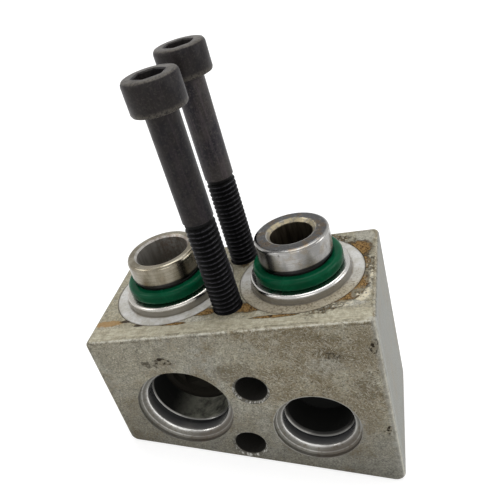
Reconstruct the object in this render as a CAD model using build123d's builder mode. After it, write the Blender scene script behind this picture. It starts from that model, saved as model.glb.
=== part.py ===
from build123d import *
import os
from math import cos, radians, sin, sqrt, tan

# Right-angle block valve: two O-ring spigots and two cap screws on a sloping top face,
# two hose ports and two through holes on the front face, and a sprung ball valve inside,
# pushed open by a sealed sensing element at the left end.
# Origin: middle of the base. X runs along the base, Y from front to back, Z up.

os.makedirs("parts", exist_ok=True)

# ---- Valve block ---------------------------------------------------------------------
block_width = 58.0           # along the sloping top face
block_depth = 31.0           # front to back
short_side = 28.5            # left end face, square to the top face
top_slope = 15.0             # degrees between the top face and the base
base_corner_radius = 2.0
top_corner_radius = 1.2
edge_radius = 0.8            # front and back edges
cut_overrun = 1.0            # how far a cut starts outside the surface that it opens

# ---- Front face: hose ports and mounting holes ----------------------------------------
pattern_offset = -3.3        # pattern centre, from the middle of the base
port_line_height = 12.7      # above the base
port_pitch = 27.6
mount_hole_pitch = 16.2
mount_hole_diameter = 6.6
mount_hole_chamfer = 0.45
port_mouth_step = 0.35       # turned ring between the mouth and its cone
port_cone_ratio = 0.7        # depth of the cone behind the ring, per step of radius
port_crest_radius = 0.5      # rounding where the cone runs into the lead-in

suction_port_mouth = 20.5
suction_port_mouth_depth = 1.2
suction_port_lead = 17.5
suction_port_lead_depth = 5.2
suction_port_cone = 0.35     # short cone between lead-in and bore
suction_port_bore = 16.9     # takes the hose fitting's O-ring
suction_port_bore_depth = 11.7
suction_drill = 14.0
suction_drill_depth = 13.2   # full diameter, before the drill point
drill_point_angle = 118.0

liquid_port_mouth = 17.9
liquid_port_mouth_depth = 1.1
liquid_port_lead = 14.9
liquid_port_lead_depth = 5.0
liquid_port_cone = 0.7
liquid_port_bore = 13.5
liquid_port_bore_depth = 11.6

# ---- Top face: spigots and screw holes -------------------------------------------------
spigot_pitch = 27.7
spigot_line_setback = 16.6   # behind the front face
flange_diameter = 25.6
flange_thickness = 3.5
flange_clearance = 0.08      # radial, in its counterbore
stub_diameter = 15.0         # pressed into the block
stub_length = 2.0            # below the flange
collar_foot_diameter = 20.6
collar_crest_diameter = 19.4
collar_height = 1.95
collar_straight = 0.5        # below the rounded part of the collar
groove_diameter = 13.4       # O-ring groove floor
groove_width = 3.3
neck_diameter = 15.0
suction_spigot_height = 9.7  # above the top face
suction_rim = 13.9
suction_rim_rounding = 0.9   # height of the rounded rim
suction_bore = 11.0
suction_lip_radius = 0.45
liquid_spigot_height = 10.2
liquid_rim = 13.6
liquid_rim_rounding = 0.7
liquid_bore = 8.6
liquid_mouth = 9.8           # chamfered mouth of the liquid spigot

o_ring_diameter = 18.2       # outside, fitted on the groove floor
o_ring_width = 2.65
o_ring_corner_radius = 0.85

screw_pitch = 17.2
screw_hole_depth = 10.5
screw_hole_tip = 1.0         # drill point of the tapped holes
screw_hole_clearance = 0.05

# ---- Cap screws, M6 x 45 ---------------------------------------------------------------
screw_diameter = 6.0
screw_length = 45.0
screw_thread_length = 24.0
screw_thread_relief = 0.06   # thread crests stand this much inside the plain shank
screw_engagement = 3.7       # length that stands in the block
screw_tip_chamfer = 0.7
head_diameter = 10.0
head_height = 6.0
head_top_chamfer = 0.6
head_bottom_radius = 0.5
socket_width = 5.0           # across flats
socket_depth = 3.0

# ---- Valve line: element, rod, seat, ball and spring on one axis -----------------------
valve_line_setback = 20.3    # behind the front face
valve_bore = 7.0
valve_bore_end = 21.5        # blind end, right of the block's middle
element_shoulder = -24.5     # where the element's rim seats

element_rim_diameter = 15.2
element_clearance = 0.2      # round the rim and the dish, and below the dish
shell_thickness = 0.8
dome_diameter = 12.0
dome_rise = 1.7
dome_top_diameter = 5.4
dome_shoulder_diameter = 9.6
dome_shoulder_rise = 1.3
diaphragm_thickness = 0.2
ripple_height = 0.35
ripple_diameter = 8.6
ripple_width = 1.4
dish_diameter = 11.0
dish_depth = 1.3
charge_hole = 2.0
charge_plug_head = 3.2
charge_plug_height = 0.6

plug_floor = 2.2             # between the socket face and the recess over the dome
plug_clearance = 0.05        # radial
plug_edge_chamfer = 0.3
plug_groove_setback = 0.6    # from the outer face
plug_groove_depth = 1.25
plug_groove_width = 1.5
plug_ring_side_gap = 0.2
plug_ring_corner = 0.4
plug_socket_width = 8.0
plug_socket_depth = 1.3
dome_clearance = 0.25        # round the dome, in the plug's recess
charge_plug_gap = 0.2        # above the charge plug, in the same recess

rod_diameter = 2.4
rod_tip_diameter = 1.6
rod_tip_length = 3.9
running_clearance = 0.04     # radial
pad_clearance = 0.3          # radial, in the dish
hub_clearance = 0.2          # radial, in the dish's hole
pad_thickness = 0.9
pad_rest_gap = 0.05          # from the relaxed diaphragm
pad_hub_diameter = 4.4
pad_hub_height = 0.6

guide_left = -7.8
guide_length = 7.0
seal_pocket_diameter = 5.0
seal_pocket_depth = 1.5
seal_corner = 0.4
retainer_thickness = 0.8

seat_face = 10.4             # the side that the ball closes
seat_thickness = 1.6
seat_hole = 3.0
seat_relief = 0.4            # flare on the rod's side
ball_diameter = 4.0
ball_gap = 0.03              # between ball and seat edge at rest
cup_diameter = 5.6
cup_floor = 0.5
cup_clearance = 0.02         # radial, round the ball
ball_hold_angle = 62.0       # degrees of the ball held by the cup, from the axis
spring_length = 5.2
spring_wire = 0.7
spring_turns = 5
spring_mean_diameter = 4.2
spring_boss_diameter = 3.0
spring_boss_length = 1.2
outlet_drill = 4.0           # liquid port to the space before the seat
outlet_drill_setback = 3.6   # left of the seat face
inlet_drill = 5.0            # liquid spigot to the spring space
inlet_drill_offset = 1.6     # right of the spigot's axis
inlet_drill_back = 1.0       # behind the spigot's axis
inlet_drill_overrun = 1.0    # past the valve line's height

# ---- Derived places ---------------------------------------------------------------------
slope = radians(top_slope)
long_side = short_side + block_width * tan(slope)
base_length = block_width / cos(slope)
mid_height = (short_side + long_side) / 2
front_y = -block_depth / 2
spigot_y = front_y + spigot_line_setback     # spigots and cap screws share this line
valve_y = front_y + valve_line_setback
line_z = port_line_height                    # hose ports and valve line

element_pocket = element_rim_diameter + 2 * element_clearance
dish_pocket = dish_diameter + 2 * element_clearance
dish_bottom = element_shoulder + dish_depth + shell_thickness
dish_floor = dish_bottom + element_clearance

along_top = Vector(cos(slope), 0, sin(slope))
top_normal = Vector(-sin(slope), 0, cos(slope))
top_centre = top_normal * mid_height + Vector(0, spigot_y, 0)
top_plane = Plane(origin=top_centre, x_dir=along_top, z_dir=top_normal)


def point_on_top(across, back=0.0):
    """Point of the top face, across the slope and behind the spigot line."""
    return top_centre + along_top * across + Vector(0, back, 0)


def top_section(across, back=0.0):
    """Upright section plane through a feature of the top face: x outward, y along its axis."""
    return Plane(origin=point_on_top(across, back), x_dir=along_top, z_dir=(0, -1, 0))


def top_axis(across, back=0.0):
    return Axis(point_on_top(across, back), top_normal)


suction_side = -spigot_pitch / 2
liquid_side = spigot_pitch / 2
suction_port_x = pattern_offset - port_pitch / 2
liquid_port_x = pattern_offset + port_pitch / 2
valve_section = Plane(origin=(0, valve_y, line_z), x_dir=(1, 0, 0), z_dir=(0, -1, 0))
valve_axis = Axis((0, valve_y, line_z), (1, 0, 0))


def front_section(x):
    """Level section plane through a front port: x outward, y into the block."""
    return Plane(origin=(x, front_y, line_z), x_dir=(1, 0, 0), z_dir=(0, 0, 1))


def front_axis(x, z=line_z):
    return Axis((x, front_y, z), (0, 1, 0))


def port_mouth_points(mouth, mouth_depth, lead):
    """Open end of a hose port: outside mouth, one turned ring and the cone to the lead-in."""
    ring = mouth / 2 - port_mouth_step
    return [
        (0, -cut_overrun),
        (mouth / 2, -cut_overrun),
        (mouth / 2, mouth_depth - port_mouth_step),
        (ring, mouth_depth),
        (lead / 2, mouth_depth + (ring - lead / 2) * port_cone_ratio),
    ]


def round_crest(section, mouth, mouth_depth, lead):
    """Rounds the corner of a port's section where the cone meets the lead-in."""
    corner = Vector(*port_mouth_points(mouth, mouth_depth, lead)[-1])
    fillet(section.vertices().sort_by_distance(corner)[0], port_crest_radius)


def drill_point(diameter):
    return diameter / 2 / tan(radians(drill_point_angle / 2))


def depth_to_valve_line(across):
    """Distance from the top face, square to it, down to the height of the valve line."""
    return (point_on_top(across).Z - line_z) / cos(slope)


# ---- Valve block -------------------------------------------------------------------------
with BuildPart() as valve_block:
    with BuildSketch(Plane.XZ.offset(-block_depth / 2)):
        left_foot = Vector(-base_length / 2, 0)
        right_foot = Vector(base_length / 2, 0)
        side_lean = Vector(-sin(slope), cos(slope))
        with BuildLine():
            Polyline(
                left_foot,
                right_foot,
                right_foot + side_lean * long_side,
                left_foot + side_lean * short_side,
                close=True,
            )
        make_face()
    extrude(amount=block_depth)
    long_edges = valve_block.edges().filter_by(Axis.Y).sort_by(Axis.Z)
    fillet(long_edges[:2], base_corner_radius)
    top_edges = valve_block.edges().filter_by(Axis.Y).filter_by(GeomType.LINE).sort_by(Axis.Z)
    long_left = top_edges.sort_by(Axis.X)[0]
    fillet([top_edges[-1], long_left], top_corner_radius)
    end_faces = valve_block.faces().filter_by(Axis.Y)
    fillet(end_faces.edges(), edge_radius)

    # Spigot counterbores and passages, square to the top face
    for across in (suction_side, liquid_side):
        with BuildSketch(top_section(across)):
            with BuildLine():
                Polyline(
                    (0, cut_overrun),
                    (flange_diameter / 2 + flange_clearance, cut_overrun),
                    (flange_diameter / 2 + flange_clearance, -flange_thickness),
                    (stub_diameter / 2, -flange_thickness),
                    (stub_diameter / 2, -flange_thickness - stub_length),
                    (0, -flange_thickness - stub_length),
                    close=True,
                )
            make_face()
        revolve(axis=top_axis(across), mode=Mode.SUBTRACT)
    with BuildSketch(top_plane.offset(-flange_thickness)):
        with Locations((suction_side, 0)):
            Circle(suction_bore / 2)
    suction_depth = depth_to_valve_line(suction_side) + suction_bore / 2
    extrude(amount=flange_thickness - suction_depth, mode=Mode.SUBTRACT)
    inlet_across = liquid_side + inlet_drill_offset
    with BuildSketch(top_plane.offset(-flange_thickness)):
        with Locations((inlet_across, inlet_drill_back)):
            Circle(inlet_drill / 2)
    inlet_depth = depth_to_valve_line(inlet_across) + inlet_drill_overrun
    extrude(amount=flange_thickness - inlet_depth, mode=Mode.SUBTRACT)

    # Tapped holes for the cap screws
    for side in (-1, 1):
        back = side * screw_pitch / 2
        hole_radius = screw_diameter / 2 + screw_hole_clearance
        with BuildSketch(top_section(0, back)):
            with BuildLine():
                Polyline(
                    (0, cut_overrun),
                    (hole_radius, cut_overrun),
                    (hole_radius, -screw_hole_depth + screw_hole_tip),
                    (0, -screw_hole_depth),
                    close=True,
                )
            make_face()
        revolve(axis=top_axis(0, back), mode=Mode.SUBTRACT)

    # Hose ports: turned mouth, lead-in and O-ring bore, then the drilled or flat end
    with BuildSketch(front_section(suction_port_x)) as suction_section:
        with BuildLine():
            Polyline(
                *port_mouth_points(suction_port_mouth, suction_port_mouth_depth, suction_port_lead),
                (suction_port_lead / 2, suction_port_lead_depth - suction_port_cone),
                (suction_port_bore / 2, suction_port_lead_depth),
                (suction_port_bore / 2, suction_port_bore_depth),
                (suction_drill / 2, suction_port_bore_depth),
                (suction_drill / 2, suction_drill_depth),
                (0, suction_drill_depth + drill_point(suction_drill)),
                close=True,
            )
        make_face()
        round_crest(suction_section, suction_port_mouth, suction_port_mouth_depth, suction_port_lead)
    revolve(axis=front_axis(suction_port_x), mode=Mode.SUBTRACT)
    with BuildSketch(front_section(liquid_port_x)) as liquid_section:
        with BuildLine():
            Polyline(
                *port_mouth_points(liquid_port_mouth, liquid_port_mouth_depth, liquid_port_lead),
                (liquid_port_lead / 2, liquid_port_lead_depth - liquid_port_cone),
                (liquid_port_bore / 2, liquid_port_lead_depth),
                (liquid_port_bore / 2, liquid_port_bore_depth),
                (0, liquid_port_bore_depth),
                close=True,
            )
        make_face()
        round_crest(liquid_section, liquid_port_mouth, liquid_port_mouth_depth, liquid_port_lead)
    revolve(axis=front_axis(liquid_port_x), mode=Mode.SUBTRACT)

    # Mounting holes, right through
    for side in (-1, 1):
        hole_z = line_z + side * mount_hole_pitch / 2
        radius = mount_hole_diameter / 2
        with BuildSketch(Plane.XZ.offset(block_depth / 2 + cut_overrun)):
            with Locations((pattern_offset, hole_z)):
                Circle(radius)
        extrude(amount=-block_depth - 2 * cut_overrun, mode=Mode.SUBTRACT)
        rims = valve_block.edges().filter_by(GeomType.CIRCLE).filter_by(
            lambda e: abs(e.radius - radius) < 1e-6 and abs(e.arc_center.Z - hole_z) < 1e-6
        )
        chamfer(rims, mount_hole_chamfer)

    # Valve line: element pocket and the bore for rod, seat and spring
    with BuildSketch(valve_section):
        with BuildLine():
            Polyline(
                (-base_length, 0),
                (-base_length, element_pocket / 2),
                (element_shoulder, element_pocket / 2),
                (element_shoulder, dish_pocket / 2),
                (dish_floor, dish_pocket / 2),
                (dish_floor, valve_bore / 2),
                (valve_bore_end, valve_bore / 2),
                (valve_bore_end, 0),
                close=True,
            )
        make_face()
    revolve(axis=valve_axis, mode=Mode.SUBTRACT)
    outlet_x = seat_face - outlet_drill_setback
    outlet_start = liquid_port_bore_depth - cut_overrun
    with BuildSketch(Plane.XZ.offset(block_depth / 2 - outlet_start)):
        with Locations((outlet_x, line_z)):
            Circle(outlet_drill / 2)
    extrude(amount=outlet_start - valve_line_setback, mode=Mode.SUBTRACT)
valve_block.part.label = "valve_block"
export_step(valve_block.part, "parts/valve_block.step")


# ---- Spigots --------------------------------------------------------------------------------
def make_spigot(across, height, rim_diameter, rim_rounding, bore_diameter, mouth_points):
    """Turned steel spigot. mouth_points lead from the rounded rim in to the bore."""
    crest = collar_crest_diameter / 2
    foot = collar_foot_diameter / 2
    groove = groove_diameter / 2
    groove_top = collar_height + groove_width
    neck = neck_diameter / 2
    rim = rim_diameter / 2
    rim_start = height - rim_rounding
    stub_end = -flange_thickness - stub_length
    with BuildPart() as spigot:
        with BuildSketch(top_section(across)):
            with BuildLine():
                Polyline(
                    (bore_diameter / 2, stub_end),
                    (stub_diameter / 2, stub_end),
                    (stub_diameter / 2, -flange_thickness),
                    (flange_diameter / 2, -flange_thickness),
                    (flange_diameter / 2, 0),
                    (foot, 0),
                    (foot, collar_straight),
                )
                Spline((foot, collar_straight), (crest, collar_height), tangents=[(0, 1), (-1, 0.1)])
                Polyline(
                    (crest, collar_height),
                    (groove, collar_height),
                    (groove, groove_top),
                    (neck, groove_top),
                    (neck, rim_start),
                )
                Spline((neck, rim_start), (rim, height), tangents=[(0, 1), (-1, 0.3)])
                Polyline((rim, height), *mouth_points, (bore_diameter / 2, stub_end))
            make_face()
        revolve(axis=top_axis(across))
    return spigot


lip_start = suction_bore / 2 + suction_lip_radius
suction_spigot = make_spigot(
    suction_side,
    suction_spigot_height,
    suction_rim,
    suction_rim_rounding,
    suction_bore,
    [
        (lip_start, suction_spigot_height),
        (suction_bore / 2, suction_spigot_height - suction_lip_radius),
    ],
)
suction_spigot.part.label = "suction_spigot"
export_step(suction_spigot.part, "parts/suction_spigot.step")

mouth_depth = (liquid_mouth - liquid_bore) / 2
liquid_spigot = make_spigot(
    liquid_side,
    liquid_spigot_height,
    liquid_rim,
    liquid_rim_rounding,
    liquid_bore,
    [
        (liquid_mouth / 2, liquid_spigot_height),
        (liquid_bore / 2, liquid_spigot_height - mouth_depth),
    ],
)
liquid_spigot.part.label = "liquid_spigot"
export_step(liquid_spigot.part, "parts/liquid_spigot.step")

# ---- Spigot O-rings -----------------------------------------------------------------------
o_ring_reach = (o_ring_diameter - groove_diameter) / 2
for name, across in (("suction", suction_side), ("liquid", liquid_side)):
    with BuildPart() as spigot_o_ring:
        with BuildSketch(top_section(across)):
            with Locations((groove_diameter / 2 + o_ring_reach / 2, collar_height + o_ring_width / 2)):
                RectangleRounded(o_ring_reach, o_ring_width, o_ring_corner_radius)
        revolve(axis=top_axis(across))
    spigot_o_ring.part.label = name + "_spigot_o_ring"
    export_step(spigot_o_ring.part, "parts/" + spigot_o_ring.part.label + ".step")

# ---- Cap screws ---------------------------------------------------------------------------
screw_bottom = -screw_engagement
screw_seat = screw_bottom + screw_length          # underside of the head
thread_end = screw_bottom + screw_thread_length
for name, side in (("front", -1), ("rear", 1)):
    back = side * screw_pitch / 2
    thread_radius = screw_diameter / 2 - screw_thread_relief
    with BuildPart() as cap_screw:
        with BuildSketch(top_section(0, back)):
            with BuildLine():
                Polyline(
                    (0, screw_bottom),
                    (thread_radius - screw_tip_chamfer, screw_bottom),
                    (thread_radius, screw_bottom + screw_tip_chamfer),
                    (thread_radius, thread_end),
                    (screw_diameter / 2, thread_end + screw_thread_relief),
                    (screw_diameter / 2, screw_seat),
                    (head_diameter / 2 - head_bottom_radius, screw_seat),
                    (head_diameter / 2, screw_seat + head_bottom_radius),
                    (head_diameter / 2, screw_seat + head_height - head_top_chamfer),
                    (head_diameter / 2 - head_top_chamfer, screw_seat + head_height),
                    (0, screw_seat + head_height),
                    close=True,
                )
            make_face()
        revolve(axis=top_axis(0, back))
        with BuildSketch(top_plane.offset(screw_seat + head_height)):
            with Locations((0, back)):
                RegularPolygon(socket_width / 2, 6, major_radius=False)
        extrude(amount=-socket_depth, mode=Mode.SUBTRACT)
    cap_screw.part.label = name + "_cap_screw"
    export_step(cap_screw.part, "parts/" + cap_screw.part.label + ".step")

# ---- Sensing element: domed cover, diaphragm, dished base, stop pad and charge plug ----------
rim = element_rim_diameter / 2
dome = dome_diameter / 2
dish = dish_diameter / 2
base_face = element_shoulder - shell_thickness             # left face of the base's rim
cover_face = base_face - diaphragm_thickness - shell_thickness
dome_top = dome_top_diameter / 2
dome_shoulder = dome_shoulder_diameter / 2
with BuildPart() as element_cover:
    with BuildSketch(valve_section):
        with BuildLine():
            Polyline(
                (cover_face - dome_rise, charge_hole / 2),
                (cover_face - dome_rise, dome_top),
                (cover_face - dome_shoulder_rise, dome_shoulder),
                (cover_face, dome),
                (cover_face, rim),
                (cover_face + shell_thickness, rim),
                (cover_face + shell_thickness, dome),
                (cover_face + shell_thickness - dome_shoulder_rise, dome_shoulder - shell_thickness / 2),
                (cover_face + shell_thickness - dome_rise, dome_top),
                (cover_face + shell_thickness - dome_rise, charge_hole / 2),
                close=True,
            )
        make_face()
    revolve(axis=valve_axis)
element_cover.part.label = "element_cover"
export_step(element_cover.part, "parts/element_cover.step")

with BuildPart() as charge_plug:
    plug_seat = cover_face - dome_rise
    with BuildSketch(valve_section):
        with BuildLine():
            Polyline(
                (plug_seat - charge_plug_height, 0),
                (plug_seat - charge_plug_height, charge_plug_head / 2 - charge_plug_height / 2),
                (plug_seat - charge_plug_height / 2, charge_plug_head / 2),
                (plug_seat, charge_plug_head / 2),
                (plug_seat, charge_hole / 2),
                (plug_seat + shell_thickness, charge_hole / 2),
                (plug_seat + shell_thickness, 0),
                close=True,
            )
        make_face()
    revolve(axis=valve_axis)
charge_plug.part.label = "charge_plug"
export_step(charge_plug.part, "parts/charge_plug.step")

with BuildPart() as element_diaphragm:
    left = base_face - diaphragm_thickness
    ripple = ripple_diameter / 2
    with BuildSketch(valve_section):
        with BuildLine():
            Polyline(
                (left, 0),
                (left, ripple - ripple_width / 2),
                (left - ripple_height, ripple),
                (left, ripple + ripple_width / 2),
                (left, rim),
                (base_face, rim),
                (base_face, ripple + ripple_width / 2),
                (base_face - ripple_height, ripple),
                (base_face, ripple - ripple_width / 2),
                (base_face, 0),
                close=True,
            )
        make_face()
    revolve(axis=valve_axis)
element_diaphragm.part.label = "element_diaphragm"
export_step(element_diaphragm.part, "parts/element_diaphragm.step")

with BuildPart() as element_base:
    hub_way = pad_hub_diameter / 2 + hub_clearance
    with BuildSketch(valve_section):
        with BuildLine():
            Polyline(
                (base_face, rim),
                (base_face, dish - shell_thickness),
                (dish_bottom - shell_thickness, dish - shell_thickness),
                (dish_bottom - shell_thickness, hub_way),
                (dish_bottom, hub_way),
                (dish_bottom, dish),
                (element_shoulder, dish),
                (element_shoulder, rim),
                close=True,
            )
        make_face()
    revolve(axis=valve_axis)
element_base.part.label = "element_base"
export_step(element_base.part, "parts/element_base.step")

# ---- End plug and its O-ring ------------------------------------------------------------------
plug_radius = element_pocket / 2 - plug_clearance
plug_groove = plug_radius - plug_groove_depth
plug_recess = dome + dome_clearance
recess_floor = cover_face - dome_rise - charge_plug_height - charge_plug_gap
plug_outer = recess_floor - plug_floor
groove_start = plug_outer + plug_groove_setback
with BuildPart() as end_plug:
    with BuildSketch(valve_section):
        with BuildLine():
            Polyline(
                (plug_outer, 0),
                (plug_outer, plug_radius - plug_edge_chamfer),
                (plug_outer + plug_edge_chamfer, plug_radius),
                (groove_start, plug_radius),
                (groove_start, plug_groove),
                (groove_start + plug_groove_width, plug_groove),
                (groove_start + plug_groove_width, plug_radius),
                (cover_face, plug_radius),
                (cover_face, plug_recess),
                (recess_floor, plug_recess),
                (recess_floor, 0),
                close=True,
            )
        make_face()
    revolve(axis=valve_axis)
    with BuildSketch(Plane(origin=(plug_outer, valve_y, line_z), x_dir=(0, 1, 0), z_dir=(1, 0, 0))):
        RegularPolygon(plug_socket_width / 2, 6, major_radius=False)
    extrude(amount=plug_socket_depth, mode=Mode.SUBTRACT)
end_plug.part.label = "end_plug"
export_step(end_plug.part, "parts/end_plug.step")

with BuildPart() as end_plug_o_ring:
    plug_ring_reach = element_pocket / 2 - plug_groove
    with BuildSketch(valve_section):
        with Locations((groove_start + plug_groove_width / 2, element_pocket / 2 - plug_ring_reach / 2)):
            RectangleRounded(plug_groove_width - plug_ring_side_gap, plug_ring_reach, plug_ring_corner)
    revolve(axis=valve_axis)
end_plug_o_ring.part.label = "end_plug_o_ring"
export_step(end_plug_o_ring.part, "parts/end_plug_o_ring.step")

# ---- Rod, stop pad, ball and ball cup: they travel together ---------------------------------------
ball_radius = ball_diameter / 2
ball_x = seat_face + sqrt(ball_radius ** 2 - (seat_hole / 2) ** 2) + ball_gap
rod_end = ball_x - ball_radius
pad_left = base_face + pad_rest_gap
pad_right = pad_left + pad_thickness
pad_radius = dish - shell_thickness - pad_clearance
with BuildPart() as stop_pad:
    with BuildSketch(valve_section):
        with BuildLine():
            Polyline(
                (pad_left, 0),
                (pad_left, pad_radius),
                (pad_right, pad_radius),
                (pad_right, pad_hub_diameter / 2),
                (pad_right + pad_hub_height, pad_hub_diameter / 2),
                (pad_right + pad_hub_height, rod_diameter / 2),
                (pad_right, rod_diameter / 2),
                (pad_right, 0),
                close=True,
            )
        make_face()
    revolve(axis=valve_axis)
stop_pad.part.label = "stop_pad"
export_step(stop_pad.part, "parts/stop_pad.step")

with BuildPart() as push_rod:
    tip_start = rod_end - rod_tip_length
    with BuildSketch(valve_section):
        with BuildLine():
            Polyline(
                (pad_right, 0),
                (pad_right, rod_diameter / 2),
                (tip_start - (rod_diameter - rod_tip_diameter) / 2, rod_diameter / 2),
                (tip_start, rod_tip_diameter / 2),
                (rod_end, rod_tip_diameter / 2),
                (rod_end, 0),
                close=True,
            )
        make_face()
    revolve(axis=valve_axis)
push_rod.part.label = "push_rod"
export_step(push_rod.part, "parts/push_rod.step")

with BuildPart() as valve_ball:
    with Locations((ball_x, valve_y, line_z)):
        Sphere(ball_radius)
valve_ball.part.label = "valve_ball"
export_step(valve_ball.part, "parts/valve_ball.step")

with BuildPart() as ball_cup:
    hold = radians(ball_hold_angle)
    recess = ball_radius + cup_clearance
    cup_left = ball_x + recess * cos(hold)
    cup_right = ball_x + recess + cup_floor
    with BuildSketch(valve_section):
        with BuildLine():
            CenterArc((ball_x, 0), recess, 0, ball_hold_angle)
            Polyline(
                (cup_left, recess * sin(hold)),
                (cup_left, cup_diameter / 2),
                (cup_right, cup_diameter / 2),
                (cup_right, spring_boss_diameter / 2),
                (cup_right + spring_boss_length, spring_boss_diameter / 2),
                (cup_right + spring_boss_length, 0),
                (ball_x + recess, 0),
            )
        make_face()
    revolve(axis=valve_axis)
ball_cup.part.label = "ball_cup"
export_step(ball_cup.part, "parts/ball_cup.step")

# ---- Rod guide with its seal, held by a retainer ----------------------------------------------------
rod_way = rod_diameter / 2 + running_clearance
guide_right = guide_left + guide_length
with BuildPart() as rod_guide:
    with BuildSketch(valve_section):
        with BuildLine():
            Polyline(
                (guide_left, seal_pocket_diameter / 2),
                (guide_left, valve_bore / 2),
                (guide_right, valve_bore / 2),
                (guide_right, rod_way),
                (guide_left + seal_pocket_depth, rod_way),
                (guide_left + seal_pocket_depth, seal_pocket_diameter / 2),
                close=True,
            )
        make_face()
    revolve(axis=valve_axis)
rod_guide.part.label = "rod_guide"
export_step(rod_guide.part, "parts/rod_guide.step")

with BuildPart() as rod_seal:
    seal_reach = seal_pocket_diameter / 2 - rod_way
    with BuildSketch(valve_section):
        with Locations((guide_left + seal_pocket_depth / 2, rod_way + seal_reach / 2)):
            RectangleRounded(seal_pocket_depth, seal_reach, seal_corner)
    revolve(axis=valve_axis)
rod_seal.part.label = "rod_seal"
export_step(rod_seal.part, "parts/rod_seal.step")

with BuildPart() as seal_retainer:
    with BuildSketch(valve_section):
        with BuildLine():
            Polyline(
                (guide_left - retainer_thickness, rod_way),
                (guide_left - retainer_thickness, valve_bore / 2),
                (guide_left, valve_bore / 2),
                (guide_left, rod_way),
                close=True,
            )
        make_face()
    revolve(axis=valve_axis)
seal_retainer.part.label = "seal_retainer"
export_step(seal_retainer.part, "parts/seal_retainer.step")

# ---- Seat, spring and spring seat -------------------------------------------------------------------
with BuildPart() as valve_seat:
    with BuildSketch(valve_section):
        with BuildLine():
            Polyline(
                (seat_face - seat_thickness, seat_hole / 2 + seat_relief),
                (seat_face - seat_thickness, valve_bore / 2),
                (seat_face, valve_bore / 2),
                (seat_face, seat_hole / 2),
                (seat_face - seat_thickness + seat_relief, seat_hole / 2),
                close=True,
            )
        make_face()
    revolve(axis=valve_axis)
valve_seat.part.label = "valve_seat"
export_step(valve_seat.part, "parts/valve_seat.step")

spring_start = cup_right
spring_end = spring_start + spring_length
with BuildPart() as valve_spring:
    coil_height = spring_length - spring_wire
    coil_start = spring_start + spring_wire / 2
    with BuildLine() as coil:
        Helix(
            pitch=coil_height / spring_turns,
            height=coil_height,
            radius=spring_mean_diameter / 2,
            center=(coil_start, valve_y, line_z),
            direction=(1, 0, 0),
        )
    with BuildSketch(Plane(origin=coil.line @ 0, z_dir=coil.line % 0)):
        Circle(spring_wire / 2)
    sweep()
valve_spring.part.label = "valve_spring"
export_step(valve_spring.part, "parts/valve_spring.step")

with BuildPart() as spring_seat:
    with BuildSketch(valve_section):
        with BuildLine():
            Polyline(
                (spring_end - spring_boss_length, 0),
                (spring_end - spring_boss_length, spring_boss_diameter / 2),
                (spring_end, spring_boss_diameter / 2),
                (spring_end, valve_bore / 2),
                (valve_bore_end, valve_bore / 2),
                (valve_bore_end, 0),
                close=True,
            )
        make_face()
    revolve(axis=valve_axis)
spring_seat.part.label = "spring_seat"
export_step(spring_seat.part, "parts/spring_seat.step")
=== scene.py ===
import math
from collections import namedtuple
from itertools import combinations
from types import SimpleNamespace

import bpy
from mathutils import Matrix, Vector


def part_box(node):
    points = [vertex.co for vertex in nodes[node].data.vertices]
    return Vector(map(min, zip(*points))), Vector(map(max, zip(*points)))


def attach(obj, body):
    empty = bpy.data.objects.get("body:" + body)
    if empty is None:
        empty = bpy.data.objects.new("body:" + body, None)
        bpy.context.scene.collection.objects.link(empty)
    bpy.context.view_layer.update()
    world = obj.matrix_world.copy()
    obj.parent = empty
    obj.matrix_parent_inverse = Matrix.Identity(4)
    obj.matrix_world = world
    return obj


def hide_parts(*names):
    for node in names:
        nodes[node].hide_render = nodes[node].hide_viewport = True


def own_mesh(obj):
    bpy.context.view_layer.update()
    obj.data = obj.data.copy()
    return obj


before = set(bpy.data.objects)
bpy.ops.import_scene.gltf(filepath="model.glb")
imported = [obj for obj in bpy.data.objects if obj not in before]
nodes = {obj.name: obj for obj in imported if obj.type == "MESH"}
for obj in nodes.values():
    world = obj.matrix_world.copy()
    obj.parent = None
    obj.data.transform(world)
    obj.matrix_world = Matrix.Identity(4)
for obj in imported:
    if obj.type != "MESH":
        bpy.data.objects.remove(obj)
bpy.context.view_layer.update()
scene = bpy.context.scene

MM_PER_METRE = 1000.0

# ---- Places and sizes in millimetres, in the frame of the CAD model -----------------------------
SLOPE = math.radians(15.0)
ALONG = Vector((math.cos(SLOPE), 0.0, math.sin(SLOPE)))
NORMAL = Vector((-math.sin(SLOPE), 0.0, math.cos(SLOPE)))
MID_HEIGHT = 36.2705  # square to the top face, from the base's centre
SPIGOT_Y = 1.1  # the spigots and the middle between the screws lie on this line
TOP_CENTRE = NORMAL * MID_HEIGHT + Vector((0.0, SPIGOT_Y, 0.0))
END_REACH = 29.0  # from the top's centre to either end, along the slope
FRONT_Y = -15.5
BLOCK_DEPTH = 31.0

HOLES = ((-3.3, 20.8), (-3.3, 4.6))
HOLE_RADIUS, HOLE_MOUTH = 3.3, 3.75

# A port's centre and mouth radius, and the depths where its lead-in ends and its bore runs
Port = namedtuple("Port", "x z mouth lead bore end")
SUCTION_PORT = Port(-17.1, 12.7, mouth=10.25, lead=4.85, bore=5.2, end=11.7)
LIQUID_PORT = Port(10.5, 12.7, mouth=8.95, lead=4.3, bore=5.0, end=11.6)

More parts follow.
